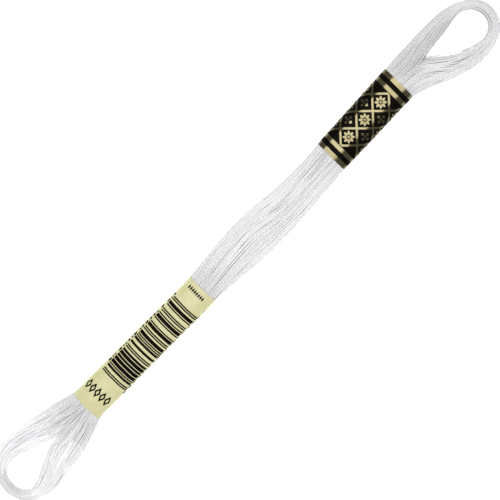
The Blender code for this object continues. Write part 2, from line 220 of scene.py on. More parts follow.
@dataclass(frozen=True)
class WoundForm:
    """The form that the winding fills, with its sections at any place."""

    squareness: float = 2.3
    waist: float = 0.46
    bed_depth: float = 0.22
    crest_length: float = 9.0
    even_length: float = 9.0
    shoulder: float = 1.6
    bands: tuple = ((32.0, 54.5), (-50.1, -10.5))
    start_x: float = -30.0
    step: float = 1.25
    cell_count: int = 80
    near_opening: Fade = Fade(-50.5, -12.0)
    near_tip: Fade = Fade(-72.0, -6.0)
    near_tip_calm: float = 0.75
    far_opening: Fade = Fade(55.0, 9.0)
    far_tip: Fade = Fade(73.0, 5.0)
    far_tip_calm: float = 0.7
    far_gains: tuple = (0.15, 0.8)
    loose_change: float = 4.0

    def body_rows(self, x: np.ndarray) -> np.ndarray:
        """The body's rows at each x, with the columns of BodyRow."""
        rows = np.array(BODY)
        return smooth_rows(rows, rows[:, 0], x)

    def height_share(self, from_crest: np.ndarray) -> np.ndarray:
        """Height of the rounded section at a share of the way from its crest."""
        reach = np.clip(np.abs(from_crest), 0.0, 1.0)
        return (1 - reach**self.squareness) ** (1 / self.squareness)

    def held_share(self, x: np.ndarray) -> np.ndarray:
        """1 inside a band and 0 well clear of them."""
        beyond = np.min([np.maximum(a - x, x - b) for a, b in self.bands], axis=0)
        return 1 - ease((beyond + self.shoulder / 2) / self.shoulder)

    def looseness(self, x: np.ndarray, side: float) -> np.ndarray:
        """How far the strands spread on one run.

        Args:
            x: places along the hank.
            side: 1 for the +Y run and -1 for the -Y run.

        Returns:
            The spread at each place, 0 to 1.
        """
        near = self.near_opening.at(x) * (1 - self.near_tip_calm * self.near_tip.at(x))
        far_gain = self.far_gains[0] if side > 0 else self.far_gains[1]
        far = far_gain * self.far_opening.at(x) * (1 - self.far_tip_calm * self.far_tip.at(x))
        return near + far

    def body_sections(self, x: np.ndarray, side: float) -> Sections:
        """Sections of one run of the body.

        Args:
            x: places along the hank.
            side: 1 for the +Y run and -1 for the -Y run.

        Returns:
            The run's sections. Away from the loops each run holds half of the area, but for
            the lean.
        """
        low, high, parting, height, lean = self.body_rows(x)[:, 1:].T
        from_crotch = np.minimum(x - BODY[0].x, BODY[-1].x - x)
        share = (parting - low) / (high - low)
        share += (0.5 + lean - share) * ease(from_crotch / self.even_length)
        middle = self.across_at(low, high, parting, share)
        edge = high if side > 0 else low
        width = side * (edge - middle)
        return Sections(
            inner=np.stack((x, middle), axis=1),
            outer=np.stack((x, edge), axis=1),
            height=height,
            crest=side * (parting - middle) / width,
            left=((parting - low) if side > 0 else (high - parting)) / width,
            right=((high - parting) if side > 0 else (parting - low)) / width,
            open_side=np.zeros_like(x),
            spill=np.zeros_like(x),
            sparse=np.zeros_like(x),
            side=np.full_like(x, side),
            held=self.held_share(x),
            loose=self.looseness(x, side),
        )

    def across_at(
        self, low: np.ndarray, high: np.ndarray, parting: np.ndarray, share: np.ndarray
    ) -> np.ndarray:
        """The y below which a section holds this share of its area.

        Args:
            low: the section's lower edge in y.
            high: its higher edge.
            parting: its crest.
            share: the share of the area that lies below.

        Returns:
            The y for each section.
        """
        cells = np.linspace(0, 1, self.cell_count + 1)
        grown = np.concatenate(([0.0], np.cumsum(self.height_share(cells))))
        grown = (grown[1:] + grown[:-1]) / (grown[-1] + grown[-2])
        grown -= grown[0]
        grown /= grown[-1]
        crest_share = (parting - low) / (high - low)
        below = (crest_share - share) / crest_share
        above = (share - crest_share) / (1 - crest_share)
        down = parting - (parting - low) * np.interp(below, grown, cells)
        up = parting + (high - parting) * np.interp(above, grown, cells)
        return np.where(share < crest_share, down, up)

    def loop_sections(self, table: tuple) -> Sections:
        """Sections round a loop, from its first row to its last, without these two.

        Args:
            table: the loop's rows.

        Returns:
            The sections between the first row and the last.
        """
        rows = np.array(table)
        ways = (polyline_ways(rows[:, :2]) + polyline_ways(rows[:, 2:4])) / 2
        count = round(ways[-1] / self.step)
        places = np.linspace(0, ways[-1], count + 1)[1:-1]
        made = smooth_rows(rows, ways, places)
        from_end = np.minimum(places, ways[-1] - places)
        crest = 0.5 * ease(from_end / self.crest_length)
        middle_y = (made[:, 1] + made[:, 3]) / 2
        middle_x = (made[:, 0] + made[:, 2]) / 2
        plus, minus = self.looseness(middle_x, 1), self.looseness(middle_x, -1)
        return Sections(
            inner=made[:, :2],
            outer=made[:, 2:4],
            height=made[:, 4],
            crest=crest,
            left=crest,
            right=1 - crest,
            open_side=2 * crest,
            spill=made[:, 5],
            sparse=made[:, 6],
            side=1 - 2 * ease(places / ways[-1]),
            held=np.zeros_like(places),
            loose=plus + (minus - plus) * ease(0.5 - middle_y / self.loose_change),
        )

    def ring(self) -> Sections:
        """Sections once round the ring.

        Returns:
            The sections, of which the last one is the first again.
        """
        first, last = BODY[0].x, BODY[-1].x

        def places(a: float, b: float) -> np.ndarray:
            """Places from one x to another, about a step apart."""
            return np.linspace(a, b, round(abs(b - a) / self.step) + 1)

        reversed_near = Sections(*(v[::-1] for v in self.loop_sections(NEAR_LOOP)))
        parts = (
            self.body_sections(places(self.start_x, last), 1),
            self.loop_sections(FAR_LOOP),
            self.body_sections(places(last, first), -1),
            reversed_near,
            self.body_sections(places(first, self.start_x), 1),
        )
        return Sections(*(np.concatenate(columns) for columns in zip(*parts)))


@dataclass(frozen=True)
class Winding:
    """Places thread in the form's sections, evenly by area."""

    form: WoundForm
    sections: Sections
    thread_reach: float = 0.23
    paper: float = 0.16
    stray_depth: float = 0.3
    least_span: float = 1e-6
    least_height: float = 1e-3

    def heights(self, across: np.ndarray) -> tuple[np.ndarray, np.ndarray]:
        """How low and how high the form reaches.

        Args:
            across: shares of the way across, one column a section.

        Returns:
            Its lowest and its highest z at each share.
        """
        s, form = self.sections, self.form
        side = np.where(across < s.crest, s.left, s.right)
        share = form.height_share((across - s.crest) / np.maximum(side, self.least_span))
        waist = form.waist * s.height
        low = np.maximum(waist * (1 - share) - form.bed_depth, 0)
        high = waist + share * (s.height - waist) - form.bed_depth
        return low, high

    def across_at(self, a: np.ndarray) -> np.ndarray:
        """Where on the way across a share of the area is reached.

        Args:
            a: shares of the area, one column a section.

        Returns:
            The share of the way across for each.
        """
        s = self.sections
        cells = np.linspace(0, 1, self.form.cell_count + 1)
        side = np.where(cells < s.crest[:, None], s.left[:, None], s.right[:, None])
        reach = (cells - s.crest[:, None]) / np.maximum(side, self.least_span)
        grown = np.cumsum(self.form.height_share(reach), axis=1)
        grown -= grown[:, :1]
        grown /= grown[:, -1:]
        return np.stack(
            [np.interp(a[:, k], grown[k], cells) for k in range(len(grown))], axis=1
        )

    def cell_flatness(self, a: np.ndarray, columns: int, rows: int) -> np.ndarray:
        """Width of a turn's cell over its height.

        Args:
            a: the turns' places, as shares of the area, one column a section.
            columns: how many turns lie side by side.
            rows: how many lie on each other.

        Returns:
            The flatness for each place.
        """
        half = 0.5 / columns
        edges = np.clip(np.stack((a - half, a, a + half)), 0, 1)
        across = self.across_at(edges.reshape(-1, a.shape[1]))
        before, middle, after = across.reshape(3, *a.shape)
        low, high = self.heights(middle)
        width = np.linalg.norm(self.sections.outer - self.sections.inner, axis=1)
        return (after - before) * width / np.maximum((high - low) / rows, self.least_height)

    def place(self, a: np.ndarray, b: np.ndarray, stray: np.ndarray) -> np.ndarray:
        """Points at area shares across and height shares.

        Args:
            a: shares of the section's area from its inner edge, one column a section.
            b: shares of the height there.
            stray: how far each one hangs into a loop's hole, as a share of the spill.

        Returns:
            Points, with x, y and z in the last axis.
        """
        s = self.sections
        across = self.across_at(a)
        inset = self.thread_reach + self.paper * s.held
        width = np.linalg.norm(s.outer - s.inner, axis=1)
        near, far = inset * s.open_side / width, inset / width
        across = near + across * (1 - near - far)
        low, high = self.heights(across)
        low, high = low + inset, high - inset
        middle = (low + high) / 2
        low, high = np.minimum(low, middle), np.maximum(high, middle)
        across = across - s.spill * stray * np.clip(1 - a / self.stray_depth, 0, 1) / width
        plan = s.inner + (s.outer - s.inner) * across[..., None]
        z = low + (high - low) * b
        return np.concatenate((plan, z[..., None]), axis=-1)


def slow_waves(
    rng: np.random.Generator, count: int, stations: int, harmonics: tuple
) -> np.ndarray:
    """Smooth random waves that close on themselves round the ring.

    Args:
        rng: the seeded source of the waves' sizes and phases.
        count: how many rows of waves.
        stations: how many values a row has, its last the same as its first.
        harmonics: the least and the most waves round the ring.

    Returns:
        Rows of about unit size.
    """
    turns = np.arange(harmonics[0], harmonics[1] + 1)
    sizes = rng.normal(size=(count, len(turns))) / np.sqrt(turns)
    phases = rng.uniform(0, math.tau, (count, len(turns)))
    way = np.linspace(0, math.tau, stations)
    waves = np.cos(turns[:, None] * way[None, :] + phases[..., None])
    rows = (sizes[..., None] * waves).sum(axis=1)
    return rows / math.sqrt((1 / turns).sum() / 2)


class GapRow(NamedTuple):
    """A place on the line between two bundles of strands, and half the gap there."""

    x: float
    y: float
    half: float


@dataclass(frozen=True)
class Gap:
    """A line along which bundles of strands stand apart.

    A gap that isn't cut through fades out below the top of the thread.
    """

    rows: tuple
    reach: float
    crossing: float
    through: bool = True
    sink: float = 0.0
    sink_width: float = 0.45
    fade_from: float = 1.8
    fade_height: float = 1.4

    def open_up(self, points: np.ndarray, follow: np.ndarray) -> None:
        """Moves strands aside, and down beside a gap that isn't cut through.

        Args:
            points: the strands' paths, changed in place.
            follow: how far each strand goes along with its neighbours, 0 to 1.
        """
        rows = np.array(self.rows)
        x, y, z = points[..., 0], points[..., 1], points[..., 2]
        inside = (x > rows[0, 0]) & (x < rows[-1, 0])
        line = smooth_rows(rows, rows[:, 0], np.clip(x, rows[0, 0], rows[-1, 0]).ravel())
        line = line.reshape(*x.shape, 3)
        away = y - line[..., 1]
        half = np.where(inside, line[..., 2], 0.0) * follow
        if not self.through:
            half = half * ease((z - self.fade_from) / self.fade_height)
        fades = np.clip(1 - np.abs(away) / self.reach, 0, 1)
        points[..., 1] = y + half * np.tanh(away / self.crossing) * fades
        points[..., 2] = z - self.sink * half * np.exp(-((away / self.sink_width) ** 2))


def tube_mesh(name: str, paths: np.ndarray, radii: np.ndarray, sides: int) -> bpy.types.Mesh:
    """Closed tubes along paths, with a map of the way round and along.

    Args:
        name: the mesh's name.
        paths: points in mm, as tubes by points by 3.
        radii: radius in mm at each point, as tubes by points.
        sides: faces round a tube.

    Returns:
        The mesh in metres. In its map u goes up by 1 round a tube, each from its own
        whole number, and v is the way along in mm.
    """
    tubes, length = paths.shape[:2]
    along = np.gradient(paths, axis=1)
    along /= np.linalg.norm(along, axis=2, keepdims=True)
    side = np.cross(along, (0.0, 0.0, 1.0))
    side /= np.maximum(np.linalg.norm(side, axis=2, keepdims=True), TINY)
    up = np.cross(side, along)
    angles = math.tau * np.arange(sides) / sides
    ring = np.cos(angles)[:, None] * side[:, :, None] + np.sin(angles)[:, None] * up[:, :, None]
    points = paths[:, :, None] + radii[:, :, None, None] * ring
    index = np.arange(tubes * length * sides).reshape(tubes, length, sides)
    a, b = index[:, :-1], index[:, 1:]
    quads = np.stack((a, b, np.roll(b, -1, 2), np.roll(a, -1, 2)), axis=-1).reshape(-1, 4)
    caps = np.concatenate((index[:, 0], index[:, -1, ::-1]))
    mesh = bpy.data.meshes.new(name)
    mesh.vertices.add(points.size // 3)
    mesh.vertices.foreach_set("co", (points * MM).astype(np.float32).ravel())
    corners = np.concatenate((quads.ravel(), caps.ravel()))
    starts = np.concatenate(
        (4 * np.arange(len(quads)), quads.size + sides * np.arange(len(caps)))
    )
    mesh.loops.add(len(corners))
    mesh.loops.foreach_set("vertex_index", corners.astype(np.int32))
    mesh.polygons.add(len(starts))
    mesh.polygons.foreach_set("loop_start", starts.astype(np.int32))
    mesh.update(calc_edges=True)
    mesh.shade_smooth()
    steps = np.linalg.norm(np.diff(paths, axis=1), axis=2)
    ways = np.concatenate((np.zeros((tubes, 1)), np.cumsum(steps, axis=1)), axis=1)
    around = np.arange(sides) / sides + np.arange(tubes)[:, None, None]
    u = np.broadcast_to(around, (tubes, length - 1, sides))
    v = np.broadcast_to(ways[:, :, None], (tubes, length, sides))
    u_corners = np.stack((u, u, u + 1 / sides, u + 1 / sides), axis=-1)
    v_corners = np.stack((v[:, :-1], v[:, 1:], v[:, 1:], v[:, :-1]), axis=-1)
    body = np.stack((u_corners, v_corners), axis=-1).reshape(-1, 2)
    cap_u = np.broadcast_to(np.arange(tubes)[:, None], (tubes, sides))
    ends = [
        np.stack((cap_u, np.broadcast_to(w[:, None], cap_u.shape)), -1).reshape(-1, 2)
        for w in (ways[:, 0], ways[:, -1])
    ]
    layer = mesh.uv_layers.new(name="UVMap")
    layer.uv.foreach_set("vector", np.concatenate((body, *ends)).astype(np.float32).ravel())
    return mesh


def add_piece(name: str, mesh: bpy.types.Mesh, finishes: list) -> bpy.types.Object:
    """Puts a mesh into the scene with its materials.

    Args:
        name: the object's name.
        mesh: its mesh.
        finishes: the materials, in the order of their numbers on the faces.

    Returns:
        The object.
    """
    for finish in finishes:
        mesh.materials.append(finish)
    piece = bpy.data.objects.new(name, mesh)
    bpy.context.scene.collection.objects.link(piece)
    return piece


class Shading:
    """A material with a Principled shader, and short calls that add nodes to it."""

    def __init__(self, name: str, **values: object) -> None:
        """A new material.

        Args:
            name: its name.
            **values: values of its shader's sockets, with _ for a space in their names.
        """
        self.material = bpy.data.materials.new(name)
        self.material.use_nodes = True
        self.nodes = self.material.node_tree.nodes
        self.links = self.material.node_tree.links
        self.shader = self.nodes["Principled BSDF"]
        for socket, value in values.items():
            self.shader.inputs[socket.replace("_", " ")].default_value = value

    def add(self, kind: str, settings: dict | None = None, **inputs: object) -> bpy.types.Node:
        """A new node.

        Args:
            kind: the node's type without its ShaderNode.
            settings: its own settings.
            **inputs: for a socket, by name or by number after i, a value or a link.

        Returns:
            The node.
        """
        node = self.nodes.new("ShaderNode" + kind)
        for key, value in (settings or {}).items():
            setattr(node, key, value)
        for key, value in inputs.items():
            numbered = key[0] == "i" and key[1:].isdigit()
            socket = node.inputs[int(key[1:]) if numbered else key.replace("_", " ")]
            if isinstance(value, bpy.types.NodeSocket):
                self.links.new(value, socket)
            else:
                socket.default_value = value
        return node

    def math(self, operation: str, *values: object) -> bpy.types.NodeSocket:
        """The result of a Math node on values or links."""
        inputs = {f"i{k}": value for k, value in enumerate(values)}
        return self.add("Math", {"operation": operation}, **inputs).outputs[0]

    def mix(self, share: object, first: object, second: object) -> bpy.types.NodeSocket:
        """A colour between two, by a share or a link to one."""
        node = self.add("Mix", {"data_type": "RGBA"}, i0=share, i6=first, i7=second)
        return node.outputs[2]

    def scaled(self, source: object, *scale: float) -> bpy.types.NodeSocket:
        """Coordinates times a scale on each axis."""
        settings = {"operation": "MULTIPLY"}
        return self.add("VectorMath", settings, i0=source, i1=scale).outputs[0]

    def drive(self, socket: str, source: bpy.types.NodeSocket) -> None:
        """Links a source into one of the shader's sockets."""
        self.links.new(source, self.shader.inputs[socket])


@dataclass(frozen=True)
class FlossFinish:
    """White mercerised cotton: two plies twisted together, seen as a row of beads.

    Each ramp holds the two places between which its painted shade, or for the far -Y arm its
    painted light, comes in.
    """

    crest: tuple = (0.99, 0.99, 0.99, 1)
    # Painted shade: the colour in the grooves between beads.
    painted_groove_shade: tuple = (0.62, 0.62, 0.64, 1)
    shade: tuple = (0.90, 0.90, 0.92, 1)
    # Painted shade: the colour on the flanks where a thread meets the next one, and its settings.
    painted_crevice_shade: tuple = (0.45, 0.45, 0.47, 1)
    crevice_shade_edge: float = 1.5
    crevice_shade_depth: float = 0.15
    crevice_shade_gain: float = 1.2
    # Painted shade and light by place along the hank, with the ramps where each comes in.
    wound_painted_shade: float = 0.872
    groove_shade_least: float = 0.5
    groove_shade_gain: float = 4.0
    held_painted_shade: float = 0.93
    held_reach: float = 11.0
    tip_painted_shade: float = 0.9
    near_tip_painted_shade: float = 0.8
    arm_painted_shade: float = 0.86
    open_arm_painted_light: float = 1.03
    wound_ramp: tuple = (-65.0, -52.0)
    arm_ramps: tuple = ((52.0, 60.0), (78.0, 70.0))
    arm_sides: tuple = ((0.2, 2.4), (0.2, -2.4))
    tip_ramp: tuple = (73.0, 80.0)
    near_tip_ramp: tuple = (-74.0, -80.0)
    roughness: float = 0.46
    gloss: float = 0.45
    sheen: float = 0.15
    sheen_roughness: float = 0.4
    bead: float = 0.66
    plies: float = 2.0
    strand_phase: float = 0.37
    middle_strand: float = 2.5
    outer_from: float = 1.0
    roundness: float = 0.9
    uneven_scale: tuple = (3.7, 0.6, 0.0)
    unevenness: float = 1.6
    fibre_scale: tuple = (9.0, 2.2, 0.0)
    fibre_depth: float = 0.35
    patch_scale: tuple = (2.3, 0.045, 0.0)
    patch_range: tuple = (0.38, 0.62)
    relief: float = 0.045
    relief_strength: float = 0.9

    def make(self) -> bpy.types.Material:
        """Makes the floss's material, from the map of the way round and along a strand.

        Returns:
            The material.
        """
        made = Shading(
            "floss_cotton", Roughness=self.roughness, Sheen_Weight=self.sheen,
            Sheen_Roughness=self.sheen_roughness, Specular_IOR_Level=self.gloss,
        )
        uv = made.add("UVMap", {"uv_map": "UVMap"}).outputs[0]
        parts = made.add("SeparateXYZ", Vector=uv).outputs
        uneven_at = made.scaled(uv, *self.uneven_scale)
        uneven = made.add("TexNoise", Vector=uneven_at, Scale=1.0, Detail=2.0)
        along = made.math("MULTIPLY_ADD", uneven.outputs[0], self.unevenness, parts[1])
        beads = made.math("DIVIDE", along, self.bead)
        turned = made.math("MULTIPLY_ADD", parts[0], -self.plies, beads)
        turns = made.math("MULTIPLY_ADD", made.math("FLOOR", parts[0]), self.strand_phase, turned)
        bead = made.math("ABSOLUTE", made.math("SINE", made.math("MULTIPLY", turns, math.pi)))
        round_bead = made.math("POWER", bead, self.roundness)
        fibres_at = made.scaled(uv, *self.fibre_scale)
        fibres = made.add("TexNoise", Vector=fibres_at, Scale=1.0, Detail=3.0)
        height = made.math("MULTIPLY_ADD", fibres.outputs[0], self.fibre_depth, round_bead)
        depth = self.relief * MM
        bump = made.add("Bump", Height=height, Strength=self.relief_strength, Distance=depth)
        patches = made.add("TexNoise", Vector=made.scaled(uv, *self.patch_scale), Scale=1.0)
        least, most = self.patch_range
        shaded = made.add("MapRange", Value=patches.outputs[0], i1=least, i2=most)
        tint = made.mix(shaded.outputs[0], self.crest, self.shade)
        # Painted shade and light by place, which also deepens the painted shade in grooves and
        # between threads.
        place_shade = self.painted_shade_by_place(made)
        place_darkening = made.math("SUBTRACT", 1.0, place_shade)
        between = made.math("SUBTRACT", 1.0, round_bead)
        groove_shade_depth = made.math("MULTIPLY_ADD", place_darkening, self.groove_shade_gain, self.groove_shade_least)
        # Painted shade: the colour darkens in the grooves between beads, more where the painted
        # shade by place is deeper.
        colour_with_painted_shade = made.mix(made.math("MULTIPLY", between, groove_shade_depth), tint, self.painted_groove_shade)
        crevice_shade_strength = made.math("MULTIPLY_ADD", place_darkening, self.crevice_shade_gain, self.crevice_shade_depth)
        # Painted shade: the colour darkens on the flanks where a thread meets the next one.
        crevice_shade_here = made.math("MULTIPLY", self.crevice_shade_share(made, parts[0]), crevice_shade_strength)
        colour_with_painted_shade = made.mix(crevice_shade_here, colour_with_painted_shade, self.painted_crevice_shade)
        settings = {"operation": "SCALE"}
        # The painted shade and light by place scale the whole colour.
        whole = made.add("VectorMath", settings, i0=colour_with_painted_shade, Scale=place_shade).outputs[0]
        made.drive("Base Color", whole)
        made.drive("Normal", bump.outputs[0])
        return made.material

    def crevice_shade_share(self, made: Shading, around: bpy.types.NodeSocket) -> bpy.types.NodeSocket:
        """How far a place faces the next thread, 0 to 1: where painted shade between threads
        goes.

        Args:
            made: the material.
            around: the map's way round, a whole number more for each strand of a thread.

        Returns:
            The share, which is most on the outer flank of a thread's outer strands.
        """
        strand = made.math("FLOOR", around)
        facing = made.math("MULTIPLY_ADD", made.math("MODULO", strand, 2.0), 2.0, -1.0)
        flank = made.math("COSINE", made.math("MULTIPLY", around, math.tau))
        toward = made.math("MULTIPLY", made.math("MULTIPLY", facing, flank), -1.0)
        from_middle = made.math("ABSOLUTE", made.math("SUBTRACT", strand, self.middle_strand))
        outer = made.math("GREATER_THAN", from_middle, self.outer_from)
        share = made.math("POWER", made.math("MAXIMUM", toward, 0.0), self.crevice_shade_edge)
        return made.math("MULTIPLY", share, outer)

    def painted_shade_by_place(self, made: Shading) -> bpy.types.NodeSocket:
        """Painted shade and light on the thread's colour, by place along the hank.

        Args:
            made: the material.

        Returns:
            The factor on the thread's colour: below 1 is painted shade, above 1 painted light.
        """
        place = made.add("TexCoord").outputs["Object"]
        x, y, _ = made.add("SeparateXYZ", Vector=made.scaled(place, *[1 / MM] * 3)).outputs

        def ramp(way: bpy.types.NodeSocket, start: float, end: float) -> bpy.types.NodeSocket:
            """0 to 1 with soft ends as the way goes from start to end."""
            settings = {"interpolation_type": "SMOOTHSTEP"}
            return made.add("MapRange", settings, Value=way, i1=start, i2=end).outputs[0]

        def toned(share: bpy.types.NodeSocket, grey: float) -> bpy.types.NodeSocket:
            """A factor that goes from 1 to the given painted shade or light level as the share
            grows.
            """
            return made.math("MULTIPLY_ADD", share, grey - 1, 1.0)

        # Painted shade on the body and far loop, near the bands, on the far +Y arm and at both
        # tips; painted light on the far -Y arm.
        factors = [toned(ramp(x, *self.wound_ramp), self.wound_painted_shade)]
        for start, end in WoundForm.bands:
            before, after = made.math("SUBTRACT", start, x), made.math("SUBTRACT", x, end)
            beyond = made.math("MAXIMUM", before, after)
            factors.append(toned(ramp(beyond, self.held_reach, 0.0), self.held_painted_shade))
        arm = made.math("MULTIPLY", *(ramp(x, *ends) for ends in self.arm_ramps))
        for ends, grey in zip(self.arm_sides, (self.arm_painted_shade, self.open_arm_painted_light)):
            factors.append(toned(made.math("MULTIPLY", arm, ramp(y, *ends)), grey))
        factors.append(toned(ramp(x, *self.tip_ramp), self.tip_painted_shade))
        factors.append(toned(ramp(x, *self.near_tip_ramp), self.near_tip_painted_shade))
        whole = factors[0]
        for factor in factors[1:]:
            whole = made.math("MULTIPLY", whole, factor)
        return whole


@dataclass(frozen=True)
class PaperFinish:
    """Coated paper or an ink on it, with faint fibres and rubbed places."""

    name: str
    colour: tuple
    rubbed: tuple
    roughness: float
    metallic: float = 0.0
    gloss: float = 0.5
    relief: float = 0.012
    relief_strength: float = 0.6
    cloud_scale: float = 0.45
    worn_from: float = 0.42
    worn_softness: float = 0.05
    worn_gain: float = 2.2
    fibre_scale: tuple = (2.5, 6.0, 0.0)
    rough_spread: float = 0.16

    def make(self) -> bpy.types.Material:
        """Makes the material, whose fibres and rubbing follow the flat sheet.

        Returns:
            The material.
        """
        made = Shading(self.name, Metallic=self.metallic, Specular_IOR_Level=self.gloss)
        uv = made.add("UVMap", {"uv_map": "UVMap"}).outputs[0]
        clouds = made.add("TexNoise", Vector=uv, Scale=self.cloud_scale, Detail=4.0)
        fibres_at = made.scaled(uv, *self.fibre_scale)
        fibres = made.add("TexNoise", Vector=fibres_at, Scale=1.0, Detail=5.0).outputs[0]
        above = made.math("SUBTRACT", clouds.outputs[0], self.worn_from)
        worn = made.math("SMOOTH_MAX", above, 0.0, self.worn_softness)
        share = made.math("MULTIPLY", worn, self.worn_gain)
        made.drive("Base Color", made.mix(share, self.colour, self.rubbed))
        smoothest = self.roughness - self.rough_spread / 2
        made.drive("Roughness", made.math("MULTIPLY_ADD", fibres, self.rough_spread, smoothest))
        depth = self.relief * MM
        bump = made.add("Bump", Height=fibres, Strength=self.relief_strength, Distance=depth)
        made.drive("Normal", bump.outputs[0])
        return made.material


CREAM_PAPER = PaperFinish(
    "cream_paper", colour=(0.545, 0.52, 0.275, 1), rubbed=(0.595, 0.575, 0.35, 1), roughness=0.45
)
BLACK_INK = PaperFinish(
    "black_ink", colour=(0.002, 0.0015, 0.001, 1), rubbed=(0.004, 0.003, 0.002, 1),
    roughness=0.5, gloss=0.03,
)
GOLD_INK = PaperFinish(
    "gold_ink", colour=(0.105, 0.09, 0.044, 1), rubbed=(0.14, 0.122, 0.068, 1),
    roughness=0.2, metallic=0.8,
)
PAPER_BACK = PaperFinish(
    "paper_back", colour=(0.75, 0.74, 0.70, 1), rubbed=(0.80, 0.79, 0.76, 1), roughness=0.7
)


class Ink(IntEnum):
    """What a printed patch shows: the number of the band's material for it."""

    GROUND = 0
    BLACK = 1
    GOLD = 2
    INSIDE = 3


def clipped(polygon: list, axis: int, limit: float, keep: int) -> list:
    """A polygon cut off at a line.

    Args:
        polygon: its corners, as pairs.
        axis: 0 for a line at a u, 1 for one at a v.
        limit: where the line is.
        keep: 1 to keep what lies above it, -1 below.

    Returns:
        The corners of what is left.
    """
    made = []
    for start, end in zip(polygon, polygon[1:] + polygon[:1]):
        from_start, from_end = keep * (start[axis] - limit), keep * (end[axis] - limit)
        if from_start >= 0:
            made.append(start)
        if from_start * from_end < 0:
            t = from_start / (from_start - from_end)
            made.append(tuple(s + (e - s) * t for s, e in zip(start, end)))
    return made


def rectangle(u: tuple, v: tuple) -> list:
    """Corners of a rectangle between two places across and two along."""
    return [(u[0], v[0]), (u[1], v[0]), (u[1], v[1]), (u[0], v[1])]


def lozenge(u: float, v: float, half_u: float, half_v: float) -> list:
    """Corners of a lozenge about a place."""
    return [(u + half_u, v), (u, v + half_v), (u - half_u, v), (u, v - half_v)]


def petal(u: float, v: float, angle: float, start: float, end: float, width: float) -> list:
    """A pointed oval that leaves a place at an angle.

    Args:
        u: the place across.
        v: the place along.
        angle: which way it points.
        start: how far from the place it begins.
        end: how far from the place it ends.
        width: its widest.

    Returns:
        Its corners.
    """
    steps = 7
    fullness = 0.8
    cos, sin = math.cos(angle), math.sin(angle)
    shares = [k / steps for k in range(steps + 1)]
    edge = [
        (start + (end - start) * t, -width / 2 * math.sin(math.pi * t**fullness)) for t in shares
    ]
    outline = edge + [(r, -w) for r, w in reversed(edge[1:-1])]
    return [(u + r * cos - w * sin, v + r * sin + w * cos) for r, w in outline]


def disc(u: float, v: float, radius: float, corners: int = 14) -> list:
    """A round dot."""
    angles = [math.tau * k / corners for k in range(corners)]
    return [(u + radius * math.cos(a), v + radius * math.sin(a)) for a in angles]


class Artwork:
    """The print on a band's flat sheet: patches in the order in which they are drawn."""

    def __init__(self, across: tuple, along: tuple) -> None:
        """An empty sheet between two places across and two along."""
        self.across, self.along = across, along
        self.patches: list[tuple[list, Ink]] = []

    def draw(self, polygon: list, ink: Ink) -> None:
        """Adds a patch, cut off at the sheet's edges.

        Args:
            polygon: its corners.
            ink: what it shows.
        """
        for axis, ends in enumerate((self.across, self.along)):
            polygon = clipped(polygon, axis, ends[0], 1)
            polygon = clipped(polygon, axis, ends[1], -1)
        if len(polygon) > 2:
            self.patches.append((polygon, ink))

    def stripe(self, start: float, end: float, ink: Ink) -> None:
        """A stripe round the whole band, between two places along."""
        self.draw(rectangle(self.across, (start, end)), ink)

    def flat_mesh(self, step: float) -> tuple[np.ndarray, np.ndarray, np.ndarray]:
        """The sheet as triangles that follow the print's outlines.

        Args:
            step: the longest edge along an outline, and the spacing of the places between.

        Returns:
            Vertices as pairs, triangles, and each triangle's ink.
        """
        places, outlines = [], []
        sheet = rectangle(self.across, self.along)
        for polygon in [sheet] + [polygon for polygon, _ in self.patches]:
            first = len(places)
            for start, end in zip(polygon, polygon[1:] + polygon[:1]):
                count = max(1, math.ceil(math.dist(start, end) / step))
                shares = np.arange(count) / count
                places += [Vector(start).lerp(Vector(end), t) for t in shares]
            outlines.append(list(range(first, len(places))))
        inks = [Ink.GROUND] + [ink for _, ink in self.patches]
        rows = np.arange(self.across[0] + step / 2, self.across[1], step)
        columns = np.arange(self.along[0] + step / 2, self.along[1], step)
        places += [Vector((u, v)) for u in rows for v in columns]
        made = delaunay_2d_cdt(places, [], outlines, 1, WELD, True)
        inside = [k for k, owners in enumerate(made[5]) if owners]
        triangles = np.array([made[2][k] for k in inside])
        shown = np.array([inks[max(made[5][k])] for k in inside])
        return np.array([tuple(p) for p in made[0]]), triangles, shown


